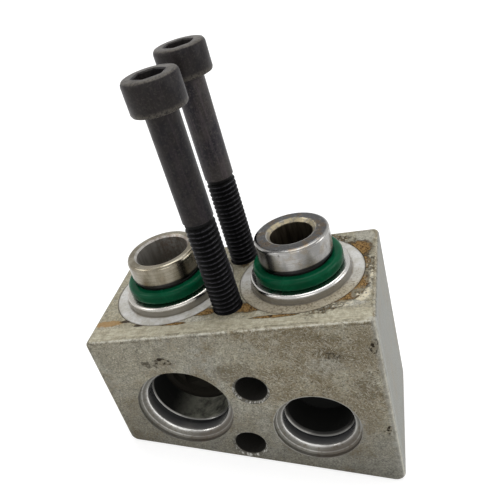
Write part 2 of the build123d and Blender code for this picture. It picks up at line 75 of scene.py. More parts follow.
# A spigot's place along the slope, its rim's height, and its radii in the bore and at its mouth
Spigot = namedtuple("Spigot", "name across rim bore mouth grimy")
SUCTION_SPIGOT = Spigot("suction_spigot_steel", -13.85, rim=9.7, bore=5.5, mouth=5.95, grimy=False)
LIQUID_SPIGOT = Spigot("liquid_spigot_steel", 13.85, rim=10.2, bore=4.3, mouth=4.9, grimy=True)
DISC_RADIUS, COLLAR_RADIUS, NECK_RADIUS, GROOVE_RADIUS = 12.8, 10.3, 7.5, 6.7
COLLAR_TOP, NECK_FOOT = 1.95, 5.25  # the O-ring's groove lies between them

SCREW_REACH = 8.6  # from the top's centre to either screw, forward or back
SCREW_TIP, THREAD_END, HEAD_SEAT, HEAD_TOP = -3.7, 20.3, 41.3, 47.3
THREAD_ROOT, THREAD_CREST, SHANK_RADIUS, HEAD_RADIUS = 2.40, 2.96, 2.97, 5.0


# ---- Node-tree helpers --------------------------------------------------------------------------
class Graph:
    """Adds nodes to a tree with short calls."""

    def __init__(self, tree):
        self.tree = tree
        tree.nodes.clear()

    def put(self, socket, value):
        """Link a socket to another one, or set it; one number fills a whole colour or vector."""
        if isinstance(value, bpy.types.NodeSocket):
            self.tree.links.new(value, socket)
            return
        size = len(socket.default_value) if hasattr(socket.default_value, "__len__") else 0
        if size and not hasattr(value, "__len__"):
            value = (value,) * size
        if size == 4 and len(value) == 3:
            value = (*value, 1.0)
        socket.default_value = value

    def node(self, kind, inputs=(), **settings):
        """Add a node and return its outputs; inputs are pairs of a name or number and a value."""
        n = self.tree.nodes.new("ShaderNode" + kind)
        for name, value in settings.items():
            setattr(n, name, value)
        for name, value in inputs:
            self.put(n.inputs[name], value)
        return n.outputs

    def math(self, operation, *values):
        return self.node("Math", enumerate(values), operation=operation)[0]

    def chain(self, operation, values):
        result = values[0]
        for value in values[1:]:
            result = self.math(operation, result, value)
        return result

    def add(self, *values):
        return self.chain("ADD", values)

    def sub(self, a, b):
        return self.math("SUBTRACT", a, b)

    def mul(self, *values):
        return self.chain("MULTIPLY", values)

    def most(self, *values):
        return self.chain("MAXIMUM", values)

    def least(self, *values):
        return self.chain("MINIMUM", values)

    def inverse(self, a):
        return self.sub(1.0, a)

    def swing(self, noise, *factors):
        """How far a noise is from its middle, times the factors."""
        return self.mul(self.sub(noise, 0.5), *factors)

    def hypot(self, a, b):
        return self.math("SQRT", self.add(self.mul(a, a), self.mul(b, b)))

    def vec(self, operation, a, b):
        outputs = self.node("VectorMath", ((0, a), (1, b)), operation=operation)
        return outputs["Value" if operation == "DOT_PRODUCT" else "Vector"]

    def shift(self, vector, offset):
        return self.vec("ADD", vector, offset)

    def stretch(self, vector, factors):
        return self.vec("MULTIPLY", vector, factors)

    def tint(self, colour, value):
        """A colour or vector times a number."""
        inputs = ((0, colour), ("Scale", value))
        return self.node("VectorMath", inputs, operation="SCALE")["Vector"]

    def split(self, vector):
        return tuple(self.node("SeparateXYZ", ((0, vector),)))

    def join(self, *parts):
        return self.node("CombineXYZ", enumerate(parts))[0]

    def step(self, value, low, high, smooth=True):
        """0 below low, 1 above high; low may be the larger, to turn it round."""
        falling = low > high
        inputs = (
            ("Value", value),
            ("From Min", high if falling else low), ("From Max", low if falling else high),
            ("To Min", 1.0 if falling else 0.0), ("To Max", 0.0 if falling else 1.0),
        )
        kind = "SMOOTHSTEP" if smooth else "LINEAR"
        return self.node("MapRange", inputs, interpolation_type=kind)["Result"]

    def band(self, value, low, high, soft):
        """1 between low and high."""
        rise = self.step(value, low - soft, low + soft)
        return self.mul(rise, self.step(value, high + soft, high - soft))

    def noise(self, vector, scale, detail=3.0, roughness=0.5, distortion=0.0):
        inputs = (
            ("Vector", vector), ("Scale", scale), ("Detail", detail),
            ("Roughness", roughness), ("Distortion", distortion),
        )
        return self.node("TexNoise", inputs)["Fac"]

    def cells(self, vector, scale):
        """Distance to the nearest of many scattered points."""
        return self.node("TexVoronoi", (("Vector", vector), ("Scale", scale)))["Distance"]

    def mix(self, amount, a, b, kind="RGBA"):
        inputs = (("Factor", amount), ("A", a), ("B", b))
        return self.node("Mix", inputs, data_type=kind)["Result"]

    def blend(self, amount, a, b):
        """Mix of two numbers."""
        return self.mix(amount, a, b, "FLOAT")

    def paint(self, colour, *layers):
        """A colour with layers of (mask, colour) laid over it in turn."""
        for mask, over in layers:
            colour = self.mix(mask, colour, over)
        return colour

    def ramp(self, value, stops, span=1.0):
        """Colour by a value from 0 to a span; stops are (value, colour)."""
        n = self.tree.nodes.new("ShaderNodeValToRGB")
        marks = n.color_ramp.elements
        for i, (place, colour) in enumerate(stops):
            mark = marks[i] if i < 2 else marks.new(place / span)
            mark.position = place / span
            mark.color = (*colour, 1.0)
        self.put(n.inputs[0], value if span == 1.0 else self.math("DIVIDE", value, span))
        return n.outputs["Color"]

    def pick(self, usual, background):
        """One shader for the light on the object, another for the rays that show the background."""
        rays = self.node("LightPath")
        kinds = ("Is Camera Ray", "Is Glossy Ray", "Is Transmission Ray")
        shows = self.most(*(rays[kind] for kind in kinds))
        return self.node("MixShader", (("Fac", shows), (1, usual), (2, background)))[0]


class Surface(Graph):
    """A Principled material, painted by place on the CAD model."""

    def __init__(self, name):
        self.material = bpy.data.materials.new(name)
        self.material.use_nodes = True
        super().__init__(self.material.node_tree)
        self.bsdf = self.tree.nodes.new("ShaderNodeBsdfPrincipled")
        self.node("OutputMaterial", (("Surface", self.bsdf.outputs["BSDF"]),))
        self.mm = self.tint(self.node("TexCoord")["Object"], MM_PER_METRE)

    def field(self, offset, *noise_settings):
        """Noise over the piece; another offset gives another pattern."""
        return self.noise(self.shift(self.mm, offset), *noise_settings)

    def streaks(self, turn, offset):
        """Sparse short scratches, turned by an angle in degrees about the Y axis."""
        moved = self.shift(self.mm, (offset, offset, offset))
        inputs = (("Angle", math.radians(turn)), ("Vector", moved))
        turned = self.node("VectorRotate", inputs, rotation_type="Y_AXIS")[0]
        lines = self.noise(self.stretch(turned, (0.75, 2.4, 5.5)), 1.0, 2.0, 0.5, 0.6)
        where = self.field((offset, 0.0, offset), 0.25, 2.0)
        return self.mul(self.step(lines, 0.575, 0.64), self.step(where, 0.42, 0.56))

    def top_frame(self):
        """Coordinates on the top face: along the slope, back, and height above the face."""
        p = self.vec("SUBTRACT", self.mm, tuple(TOP_CENTRE))
        along = self.vec("DOT_PRODUCT", p, tuple(ALONG))
        height = self.vec("DOT_PRODUCT", p, tuple(NORMAL))
        return along, self.split(p)[1], height

    def radius_from(self, a, b, centre_a, centre_b):
        return self.hypot(self.sub(a, centre_a), self.sub(b, centre_b))

    def spot(self, a, b, noise, centre_a, centre_b, size_a, size_b, wander=0.9, strength=None):
        """Ragged blotch round a point: 0 outside, and 1 or its strength inside."""
        da = self.math("DIVIDE", self.sub(a, centre_a), size_a)
        db = self.math("DIVIDE", self.sub(b, centre_b), size_b)
        reach = self.add(self.hypot(da, db), self.swing(noise, wander * 2))
        mask = self.step(reach, 1.15, 0.75)
        return mask if strength is None else self.mul(mask, strength)

    def spots(self, a, b, noise, *places):
        return self.most(*(self.spot(a, b, noise, *place) for place in places))

    def bump(self, *layers):
        """Relief from layers of (height in millimetres, strength)."""
        below = ()
        for height, strength in layers:
            inputs = (("Strength", strength), ("Distance", 0.001), ("Height", height), *below)
            below = (("Normal", self.node("Bump", inputs)["Normal"]),)
        self.finish(Normal=below[0][1])

    def finish(self, **sockets):
        """Set the shader's sockets, with _ for a space in their names."""
        for name, value in sockets.items():
            self.put(self.bsdf.inputs[name.replace("_", " ")], value)
        return self.material


# ---- Block: weathered aluminium -----------------------------------------------------------------
FACE = SimpleNamespace(
    warm_grey=(0.284, 0.264, 0.204), cool_grey=(0.314, 0.304, 0.256),
    ochre=(0.318, 0.276, 0.176), brown=(0.200, 0.158, 0.092), grit=(0.070, 0.050, 0.023),
    scorch=(0.098, 0.072, 0.034), char=(0.040, 0.028, 0.013), speckle=(0.092, 0.070, 0.036),
    dust=(0.070, 0.052, 0.027), mote=(0.480, 0.460, 0.395), star=(0.350, 0.345, 0.300),
    scratch=(0.480, 0.460, 0.385),
    end_dark=(0.236, 0.238, 0.216), end_light=(0.268, 0.270, 0.246),
    end_dull=(0.235, 0.224, 0.186), end_tan=(0.262, 0.226, 0.166), end_corner_highlight=(0.360, 0.362, 0.340),
    # painted shadow beside the edges, a painted highlight on the front-right corner, and edges worn
    # bright by rubbing with a painted highlight
    edge_shadow_line=(0.075, 0.060, 0.034), corner_highlight=(0.400, 0.398, 0.362),
    rubbed_and_highlit=(0.560, 0.545, 0.470),
    pit_edge=(0.190, 0.160, 0.105), pit=(0.022, 0.015, 0.008), speck=(0.060, 0.046, 0.026),
)
TOP = SimpleNamespace(
    dark=(0.240, 0.216, 0.152), light=(0.310, 0.292, 0.226), crumb=(0.190, 0.150, 0.085),
    pale=(0.365, 0.352, 0.300),
    band_dark=(0.305, 0.278, 0.200), band_light=(0.415, 0.393, 0.305),
    band_stain=(0.200, 0.172, 0.112),
    rust_dark=(0.110, 0.048, 0.013), rust_light=(0.560, 0.340, 0.125),
    rust_crack=(0.040, 0.018, 0.006), plate=(0.600, 0.540, 0.400), stain=(0.290, 0.165, 0.055),
    chip=(0.028, 0.017, 0.009), gap=(0.045, 0.032, 0.020),
)
PORTS = SimpleNamespace(
    # painted shade for the entry's lower right, and an olive oily layer with a painted pool of
    # light in the left bore
    grime=(0.120, 0.096, 0.058), shade=(0.085, 0.066, 0.050), olive_film_and_light_pool=(0.300, 0.300, 0.245),
    # painted highlight at the edge of the port's floor
    floor_edge_highlight=(0.300, 0.270, 0.230), suction_floor=(0.022, 0.020, 0.015),
    liquid_floor=(0.013, 0.013, 0.012),
    hole_edge=(0.130, 0.122, 0.100), nick=(0.560, 0.550, 0.510), hole_dark=(0.032, 0.030, 0.026),
)
# A port's colour by depth in millimetres, from its mouth's turned steps to its polished lead-in:
# painted highlights on the step edges, a bright painted highlight on the lead-in's rounded edge,
# then painted shade darkening the lead-in
ENTRY_SPAN = 4.0
ENTRY_HIGHLIGHTS_AND_SHADE = (
    (0.00, (0.330, 0.320, 0.290)), (0.12, (0.340, 0.330, 0.300)), (0.20, (0.170, 0.164, 0.142)),
    (0.85, (0.185, 0.178, 0.155)), (1.10, (0.200, 0.192, 0.168)), (1.16, (0.430, 0.420, 0.390)),
    (1.24, (0.430, 0.420, 0.390)), (1.32, (0.170, 0.164, 0.145)), (1.60, (0.215, 0.208, 0.186)),
    (1.80, (0.380, 0.372, 0.350)), (1.92, (0.900, 0.890, 0.860)), (2.10, (0.840, 0.830, 0.800)),
    (2.40, (0.470, 0.465, 0.455)), (3.00, (0.320, 0.318, 0.318)), (3.90, (0.170, 0.170, 0.176)),
)
# Its colour behind the end of the lead-in: a painted highlight line at the step into the bore, then
# grime and painted shade to near black
STEP_IN_HIGHLIGHT_AND_SHADE = (
    (0.00, (0.110, 0.110, 0.114)), (0.04, (0.460, 0.455, 0.435)), (0.12, (0.330, 0.322, 0.300)),
    (0.34, (0.060, 0.058, 0.054)), (0.80, (0.012, 0.012, 0.011)),
)


class BlockSurface(Surface):
    """The block's surface, with the places, faces and noises that its layers share."""

    def __init__(self, name):
        super().__init__(name)
        self.x, self.y, self.z = self.split(self.mm)
        self.depth = self.sub(self.y, FRONT_Y)
        self.along, self.back, self.height = self.top_frame()

        self.big = self.noise(self.mm, 0.10, 4.0, 0.55)
        self.clouds = self.field((71.0, 3.0, 9.0), 0.15, 5.0, 0.62)
        self.middle = self.field((31.0, 7.0, 3.0), 0.42, 5.0, 0.66)
        self.ragged = self.field((3.0, 50.0, 0.0), 0.55, 5.0, 0.65)
        self.fine = self.field((5.0, 19.0, 11.0), 1.15, 5.0, 0.75)
        self.crumbs = self.field((13.0, 5.0, 0.0), 1.5, 5.0, 0.75)
        self.grain = self.field((2.0, 3.0, 47.0), 2.8, 4.0, 0.75)
        turns = ((22.0, 3.0), (74.0, 11.0), (128.0, 23.0), (160.0, 37.0))
        self.scratches = self.most(*(self.streaks(turn, offset) for turn, offset in turns))

        facing = self.node("NewGeometry")["True Normal"]
        up = self.vec("DOT_PRODUCT", facing, tuple(NORMAL))
        sideways = self.math("ABSOLUTE", self.vec("DOT_PRODUCT", facing, tuple(ALONG)))
        self.on_front = self.step(self.split(facing)[1], -0.75, -0.95)
        self.on_end = self.step(sideways, 0.75, 0.95)
        self.on_top = self.mul(self.step(up, 0.80, 0.93), self.step(self.height, -0.6, -0.25))
        # the top's front edge was dressed, and it and the ends are smoother than the rest
        self.dressed = self.step(self.add(self.back, self.swing(self.ragged, 1.4)), -12.3, -13.0)
        self.smooth = self.most(self.on_end, self.mul(self.dressed, self.on_top, 0.75))


def front_colour(g):
    """Warm grey with brown clouds, thicker to the upper right, and specks and light scratches."""
    grey = g.mix(g.step(g.big, 0.38, 0.62), FACE.warm_grey, FACE.cool_grey)
    grey = g.tint(grey, g.add(1.0, g.swing(g.middle, 1.2)))
    spread = g.mul(
        g.step(g.add(g.x, g.swing(g.clouds, 30.0)), -13.0, 0.0),
        g.step(g.add(g.z, g.swing(g.ragged, 24.0)), 10.0, 22.0),
    )
    browned = g.add(g.clouds, g.swing(g.fine, 0.55), g.mul(spread, 0.16))
    brown = g.step(browned, 0.50, 0.70)
    burnt = g.spots(
        g.x, g.z, g.middle,
        (-5.8, 24.7, 4.6, 3.0, 1.1, 0.85), (11.8, 32.8, 3.8, 1.9, 1.1),
        (19.2, 25.8, 2.6, 4.0, 1.1, 0.8), (9.0, 36.6, 8.0, 0.9, 1.0, 0.6),
    )
    speckled = g.add(g.fine, g.swing(g.clouds, 0.5), g.mul(spread, 0.05))
    dust = g.field((17.0, 29.0, 4.0), 2.5, 2.0, 0.6)
    motes = g.field((43.0, 2.0, 61.0), 2.3, 2.0, 0.6)
    star = g.spot(g.x, g.z, g.middle, 10.8, 30.2, 3.4, 2.2)
    colour = g.paint(
        grey,
        (g.mul(spread, 0.40), FACE.ochre),
        (g.mul(brown, 0.62), FACE.brown),
        (g.mul(brown, g.step(g.grain, 0.50, 0.60), 0.60), FACE.grit),
        (g.mul(burnt, g.step(g.fine, 0.36, 0.54), 0.75), FACE.scorch),
        (g.mul(burnt, g.step(g.grain, 0.54, 0.62), 0.75), FACE.char),
        (g.mul(g.step(speckled, 0.58, 0.70), 0.58), FACE.speckle),
        (g.mul(g.step(dust, 0.57, 0.62), g.add(0.34, g.mul(spread, 0.30))), FACE.dust),
        (g.mul(g.step(motes, 0.58, 0.63), 0.46), FACE.mote),
        (g.mul(star, g.step(g.fine, 0.40, 0.56), 0.55), FACE.star),
        (g.mul(g.scratches, g.add(0.20, g.mul(spread, 0.36))), FACE.scratch),
    )
    darker_below = g.add(0.54, g.mul(g.step(g.z, 0.0, 20.0, smooth=False), 0.48))
    return g.tint(colour, g.blend(g.on_front, 1.0, darker_below))


def end_colour(g):
    """Cleaner, with faint drawn marks that run down, and paler along the front corner as a painted
    highlight.
    """
    drawn = g.noise(g.stretch(g.mm, (1.0, 1.6, 0.14)), 1.5, 4.0, 0.6)
    stained = g.add(drawn, g.sub(g.clouds, 0.5))
    # painted highlight along the rounded front corner
    corner = g.step(g.add(g.y, g.swing(g.ragged, 3.0)), -12.6, -14.8)
    return g.paint(
        g.mix(g.step(drawn, 0.32, 0.70), FACE.end_dark, FACE.end_light),
        (g.mul(g.step(g.middle, 0.50, 0.72), 0.45), FACE.end_dull),
        (g.mul(g.step(stained, 0.52, 0.66), 0.45), FACE.end_tan),
        (g.mul(corner, 0.5), FACE.end_corner_highlight),
    )


def top_colour(g):
    """Beige-grey deposit, with a paler brushed band along the dressed front edge."""
    pale = g.most(
        g.mul(g.step(g.ragged, 0.56, 0.66), 0.55),
        g.spots(
            g.along, g.back, g.ragged,
            (20.5, -9.3, 5.2, 2.6, 0.9, 0.75), (26.3, 11.5, 2.0, 4.0, 0.9, 0.7),
        ),
        g.spots(
            g.along, g.back, g.crumbs,
            (-8.0, -12.0, 4.5, 1.1, 0.9, 0.75), (27.0, -3.5, 1.2, 6.5, 0.8, 0.85),
            (24.2, -11.2, 3.2, 0.8, 0.8, 0.85),
        ),
    )
    deposit = g.paint(
        g.mix(g.step(g.middle, 0.34, 0.68), TOP.dark, TOP.light),
        (g.mul(g.step(g.crumbs, 0.52, 0.64), 0.5), TOP.crumb),
        (pale, TOP.pale),
    )
    deposit = g.tint(deposit, g.inverse(g.mul(g.step(g.along, 14.0, 20.0), 0.12)))
    lengthwise = g.join(g.mul(g.along, 0.35), g.mul(g.back, 2.6), g.mul(g.height, 2.6))
    brushed = g.add(g.noise(lengthwise, 1.0, 4.0, 0.7), g.swing(g.fine, 0.5))
    band = g.paint(
        g.mix(g.step(brushed, 0.36, 0.64), TOP.band_dark, TOP.band_light),
        (g.mul(g.step(g.middle, 0.50, 0.64), 0.55), TOP.band_stain),
    )
    return g.mix(g.mul(g.dressed, 0.85), deposit, band)


def corner_wear(g):
    """Masks along the corners between faces: worn bright by rubbing and painted as a highlight, a
    painted shadow line beside that, and a painted highlight along the front-right corner.
    """
    from_front, from_right = g.sub(g.y, FRONT_Y), g.sub(END_REACH, g.along)
    walls = (from_front, g.mul(g.height, -1.0), from_right, g.add(END_REACH, g.along), g.z)
    near = g.least(*(g.most(a, b) for a, b in combinations(walls, 2)))
    near = g.add(near, g.swing(g.crumbs, 0.9))
    pale = g.add(g.most(from_front, from_right), g.swing(g.ragged, 2.2))
    return SimpleNamespace(
        # edges worn bright by rubbing, with a painted highlight
        rubbed_and_highlit=g.mul(g.step(near, 0.46, 0.16), g.step(g.middle, 0.34, 0.50)),
        # painted shadow line beside the edges
        edge_shadow=g.mul(g.band(near, 0.50, 0.90, 0.14), g.step(g.ragged, 0.45, 0.58)),
        # painted highlight along the front-right corner
        pale=g.step(pale, 1.5, 0.5),
    )


def deposits(g):
    """Masks on the top: brown crust round the spigots, cream plates, a stain and dark chips."""
    right, left = (
        g.radius_from(g.along, g.back, spigot.across, 0.0)
        for spigot in (LIQUID_SPIGOT, SUCTION_SPIGOT)
    )
    around = g.mul(
        g.step(g.add(right, g.swing(g.ragged, -7.0)), 14.7, 13.3),
        g.step(g.crumbs, 0.47, 0.53), g.step(g.fine, 0.42, 0.50), g.step(g.along, 15.0, 20.0),
    )
    patches = g.spots(
        g.along, g.back, g.crumbs,
        (25.2, 7.0, 2.6, 2.8, 0.7), (26.4, 1.5, 1.2, 2.4, 0.8), (25.6, -5.0, 1.9, 3.4, 0.8),
        (22.6, -9.0, 2.8, 1.5, 0.8), (4.4, -9.6, 3.6, 1.5, 0.7), (10.0, -13.1, 4.5, 0.40, 0.8),
        (0.6, 9.0, 1.4, 4.0, 0.8), (-5.0, -9.8, 2.8, 1.1, 0.8), (-10.5, -12.8, 2.8, 0.40, 0.8),
    )
    plates = g.spots(
        g.along, g.back, g.ragged,
        (27.3, -1.5, 1.0, 4.5, 0.7), (26.2, -8.5, 1.8, 2.2, 0.7), (22.0, -11.0, 3.0, 1.0, 0.7),
    )
    stain = g.spot(g.along, g.back, g.crumbs, -25.6, -11.0, 3.4, 1.0, 0.8)
    chips = g.spots(
        g.along, g.back, g.crumbs,
        (-21.3, -10.7, 1.6, 0.45, 0.6), (-18.3, -12.4, 1.0, 0.35, 0.6),
    )
    gap = g.band(g.least(right, left), DISC_RADIUS - 0.10, DISC_RADIUS + 0.18, 0.10)
    return SimpleNamespace(
        crust=g.mul(g.most(around, patches), g.on_top),
        plates=g.mul(plates, g.step(g.crumbs, 0.44, 0.48), g.on_top),
        stain=g.mul(stain, g.on_top),
        chips=g.mul(chips, g.on_top),
        gap=g.mul(gap, g.on_top),
    )


def pitting(g):
    """Masks for ragged dark chips, few and uneven on the front face, and for small specks."""
    crack = g.field((1.0, 1.0, 9.0), 0.95, 4.0, 0.7)
    clusters = g.spots(
        g.x, g.z, g.ragged,
        (-21.2, 25.4, 1.9, 1.0, 0.5), (-24.0, 23.9, 1.8, 0.9, 0.6, 0.6),
        (19.1, 36.4, 0.8, 1.7, 0.5), (24.4, 15.2, 0.5, 1.2, 0.5),
        (11.8, 32.8, 1.6, 0.9, 0.7, 0.7),
    )
    return SimpleNamespace(
        edges=g.mul(clusters, g.on_front),
        pits=g.mul(clusters, g.step(crack, 0.495, 0.535), g.on_front),
        specks=g.mul(g.step(g.cells(g.mm, 0.40), 0.11, 0.05), g.step(g.ragged, 0.46, 0.56)),
    )


def port_inside(g, depth, port):
    """A port's mask, its colour by depth with painted highlights and shade, and how far to the
    lower right a place in it lies.
    """
    radius = g.radius_from(g.x, g.z, port.x, port.z)
    entry = g.ramp(depth, ENTRY_HIGHLIGHTS_AND_SHADE, ENTRY_SPAN)
    step_in = g.ramp(g.most(g.sub(depth, port.lead), 0.0), STEP_IN_HIGHLIGHT_AND_SHADE, port.bore - port.lead)
    past_lead = g.step(depth, port.lead - 0.03, port.lead + 0.01, smooth=False)
    aside = g.sub(g.sub(g.x, port.x), g.sub(g.z, port.z))
    return SimpleNamespace(
        inside=g.mul(
            g.step(radius, port.mouth + 0.25, port.mouth + 0.10),
            g.step(depth, 0.0, 0.06),
            g.step(depth, 20.0, 18.0),  # the back face isn't part of it
        ),
        colour=g.mix(past_lead, entry, step_in),
        lower_right=g.math("DIVIDE", aside, port.mouth * math.sqrt(2.0)),
        deep=g.step(depth, port.bore - 0.15, port.bore + 0.05),
        floor=g.step(depth, port.end - 0.45, port.end - 0.30),
    )


def port_metal(g):
    """Both ports: turned steps and a polished lead-in with painted highlights, painted shade on the
    lower right, and a dark bore; the left with an olive oily layer and a painted pool of light on
    its wall.
    """
    depth = g.depth
    left = port_inside(g, depth, SUCTION_PORT)
    # the right port's steps lie 0.1 mm nearer its mouth
    right = port_inside(g, g.add(depth, g.mul(0.1, g.step(depth, 2.4, 2.0))), LIQUID_PORT)
    low_side = g.blend(right.inside, left.lower_right, right.lower_right)
    deep = g.blend(right.inside, left.deep, right.deep)
    floor = g.blend(right.inside, left.floor, right.floor)
    floor_colour = g.mix(right.inside, PORTS.suction_floor, PORTS.liquid_floor)
    turned = g.noise(g.join(g.mul(depth, 5.0), g.mul(low_side, 0.8), 0.0), 1.0, 4.0, 0.7)
    shaded = g.step(g.add(low_side, g.swing(g.ragged, 0.3)), 0.55, 0.92)
    # painted shade: darkens the end of the lead-in and its painted highlight line on the lower
    # right
    worn = g.mul(
        g.step(depth, 3.8, 4.2), g.step(g.add(low_side, g.swing(g.middle, 0.8)), 0.30, 0.60),
        g.inverse(deep), 0.50,
    )
    # an olive oily layer and a painted pool of light on the lower-right wall of the left bore
    film_and_light_pool = g.mul(
        left.inside, deep, g.inverse(floor),
        g.step(g.add(low_side, g.swing(g.middle, 0.7)), 0.12, 0.62),
        g.step(g.middle, 0.78, 0.36), g.add(0.85, g.swing(g.fine, 0.9)),
    )
    # painted highlight along the upper-left edge of the port's floor
    at_floor = g.band(depth, LIQUID_PORT.end - 0.10, LIQUID_PORT.end + 0.02, 0.05)
    floor_edge_highlight = g.mul(deep, at_floor, g.step(low_side, 0.0, -0.35))

    colour = g.mix(right.inside, left.colour, right.colour)
    colour = g.paint(
        g.tint(colour, g.add(1.0, g.swing(turned, 0.9))),
        (g.mul(g.step(g.fine, 0.50, 0.64), g.step(depth, 2.4, 1.6), 0.6), PORTS.grime),
        (g.mul(shaded, g.step(depth, 2.5, 1.9), 0.60), PORTS.shade),
    )
    colour = g.paint(
        g.tint(colour, g.inverse(worn)),
        (film_and_light_pool, PORTS.olive_film_and_light_pool), (floor_edge_highlight, PORTS.floor_edge_highlight), (floor, floor_colour),
    )
    inside = g.most(left.inside, right.inside)
    return SimpleNamespace(colour=colour, inside=inside, deep=deep, turned=turned)


def mounting_holes(g):
    """Mask and colour of the holes: chamfers with a few bright nicks, and dark inside."""
    radius = g.least(*(g.radius_from(g.x, g.z, *hole) for hole in HOLES))
    nicks = g.mul(g.step(radius, HOLE_RADIUS, HOLE_RADIUS + 0.10), g.step(g.crumbs, 0.50, 0.58))
    edge = g.mix(nicks, PORTS.hole_edge, PORTS.nick)
    from_face = g.least(g.depth, g.sub(BLOCK_DEPTH, g.depth))
    colour = g.mix(g.step(from_face, 0.30, 0.65), edge, PORTS.hole_dark)
    return g.step(radius, HOLE_MOUTH + 0.10, HOLE_MOUTH + 0.01), colour


def block_material():
    g = BlockSurface("weathered_aluminium")
    corners, top, front, port = corner_wear(g), deposits(g), pitting(g), port_metal(g)
    rust = g.paint(
        g.mix(g.step(g.grain, 0.40, 0.54), TOP.rust_dark, TOP.rust_light),
        (g.step(g.fine, 0.57, 0.64), TOP.rust_crack),
    )
    mottle = g.add(g.swing(g.fine, 1.9), g.swing(g.grain, 2.6))
    mottle = g.blend(g.smooth, g.add(1.0, mottle), g.add(1.0, g.mul(mottle, 0.24)))
    faces = g.paint(front_colour(g), (g.on_end, end_colour(g)), (g.on_top, top_colour(g)))
    colour = g.paint(
        g.tint(faces, mottle),
        (g.mul(corners.edge_shadow, 0.55), FACE.edge_shadow_line),
        (g.mul(corners.pale, 0.5), FACE.corner_highlight),
        (g.mul(corners.rubbed_and_highlit, 0.75), FACE.rubbed_and_highlit),
        (g.mul(top.crust, 0.95), rust),
        (g.mul(top.plates, 0.85), TOP.plate),
        (g.mul(top.stain, 0.75), TOP.stain),
        (g.mul(top.chips, 0.95), TOP.chip),
        (g.mul(top.gap, 0.75), TOP.gap),
        (g.mul(front.edges, 0.45), FACE.pit_edge),
        (g.mul(front.pits, 0.95), FACE.pit),
        (g.mul(front.specks, 0.6), FACE.speck),
        (port.inside, port.colour),
        mounting_holes(g),
    )

    shiny = g.mul(corners.rubbed_and_highlit, g.inverse(port.inside))
    polished = g.step(g.depth, 1.66, 1.90)
    in_port = g.blend(port.deep, g.add(0.25, g.mul(polished, 0.40)), 0.0)
    metal = g.blend(g.mul(shiny, 0.8), g.blend(port.inside, 0.08, in_port), 0.55)
    entry = g.mul(port.inside, g.inverse(port.deep))
    entry_rough = g.add(g.blend(polished, 0.36, 0.20), g.swing(g.fine, 0.25))
    dull = g.most(top.crust, top.stain, front.pits, g.mul(port.inside, port.deep))
    rough = g.blend(entry, g.add(0.52, g.swing(g.fine, 0.35)), entry_rough)
    rough = g.blend(dull, g.blend(shiny, rough, 0.36), 0.88)
    outside = g.inverse(g.mul(port.inside, 0.95))
    g.bump(
        (g.swing(g.fine, outside, g.inverse(g.mul(g.smooth, 0.6)), 0.22), 0.6),
        (g.swing(g.grain, outside, 0.08), 0.6),
        (g.mul(g.scratches, outside, -0.02), 0.7),
        (g.mul(top.crust, g.add(0.25, g.crumbs, g.grain)), 1.0),
        (g.mul(g.most(front.pits, top.chips, g.mul(front.specks, 0.3)), -0.35), 1.0),
        (g.mul(port.turned, port.inside, 0.010), 0.8),
    )
    return g.finish(
        Base_Color=colour, Metallic=metal, Roughness=rough, Specular_IOR_Level=0.14)


# ---- Spigots: turned steel, with a dull disc and a polished collar, neck and rim ----------------
STEEL = SimpleNamespace(
    bright_dark=(0.300, 0.294, 0.282), bright_light=(0.370, 0.364, 0.352),
    bright_reflection_streak=(0.160, 0.156, 0.152),
    satin_dark=(0.205, 0.184, 0.139), satin_light=(0.275, 0.252, 0.202),
    satin_reflection_streak=(0.115, 0.095, 0.060),
    # painted highlight on the collar's top edge over its shaded wall, and painted shadow at the
    # neck's foot
    stain=(0.235, 0.200, 0.150), collar_shaded_wall=(0.300, 0.285, 0.262),
    collar_highlight=(0.560, 0.545, 0.520), neck_foot_shadow=(0.018, 0.018, 0.020),
    # the groove's near black is dirt and painted shadow
    neck_pit=(0.060, 0.040, 0.022), groove=(0.018, 0.018, 0.016),
    disc_light=(0.500, 0.495, 0.480), disc_dark=(0.390, 0.376, 0.335),
    disc_crumb=(0.230, 0.185, 0.115), disc_tan=(0.330, 0.290, 0.200),
    disc_brown=(0.175, 0.136, 0.076), disc_grit=(0.085, 0.055, 0.022),
    disc_outline=(0.170, 0.140, 0.095), disc_foot=(0.140, 0.115, 0.080),
    rim_dark=(0.052, 0.052, 0.053), rim_light=(0.150, 0.146, 0.138),
    rim_brown=(0.075, 0.055, 0.036), rim_tan=(0.380, 0.325, 0.210),
    sooty_dark=(0.030, 0.022, 0.014), sooty_light=(0.095, 0.078, 0.054),
    mouth_highlight=(0.200, 0.180, 0.145),
    clean_dark=(0.250, 0.232, 0.205), clean_light=(0.420, 0.405, 0.375),
    clean_brown=(0.170, 0.105, 0.070),
)


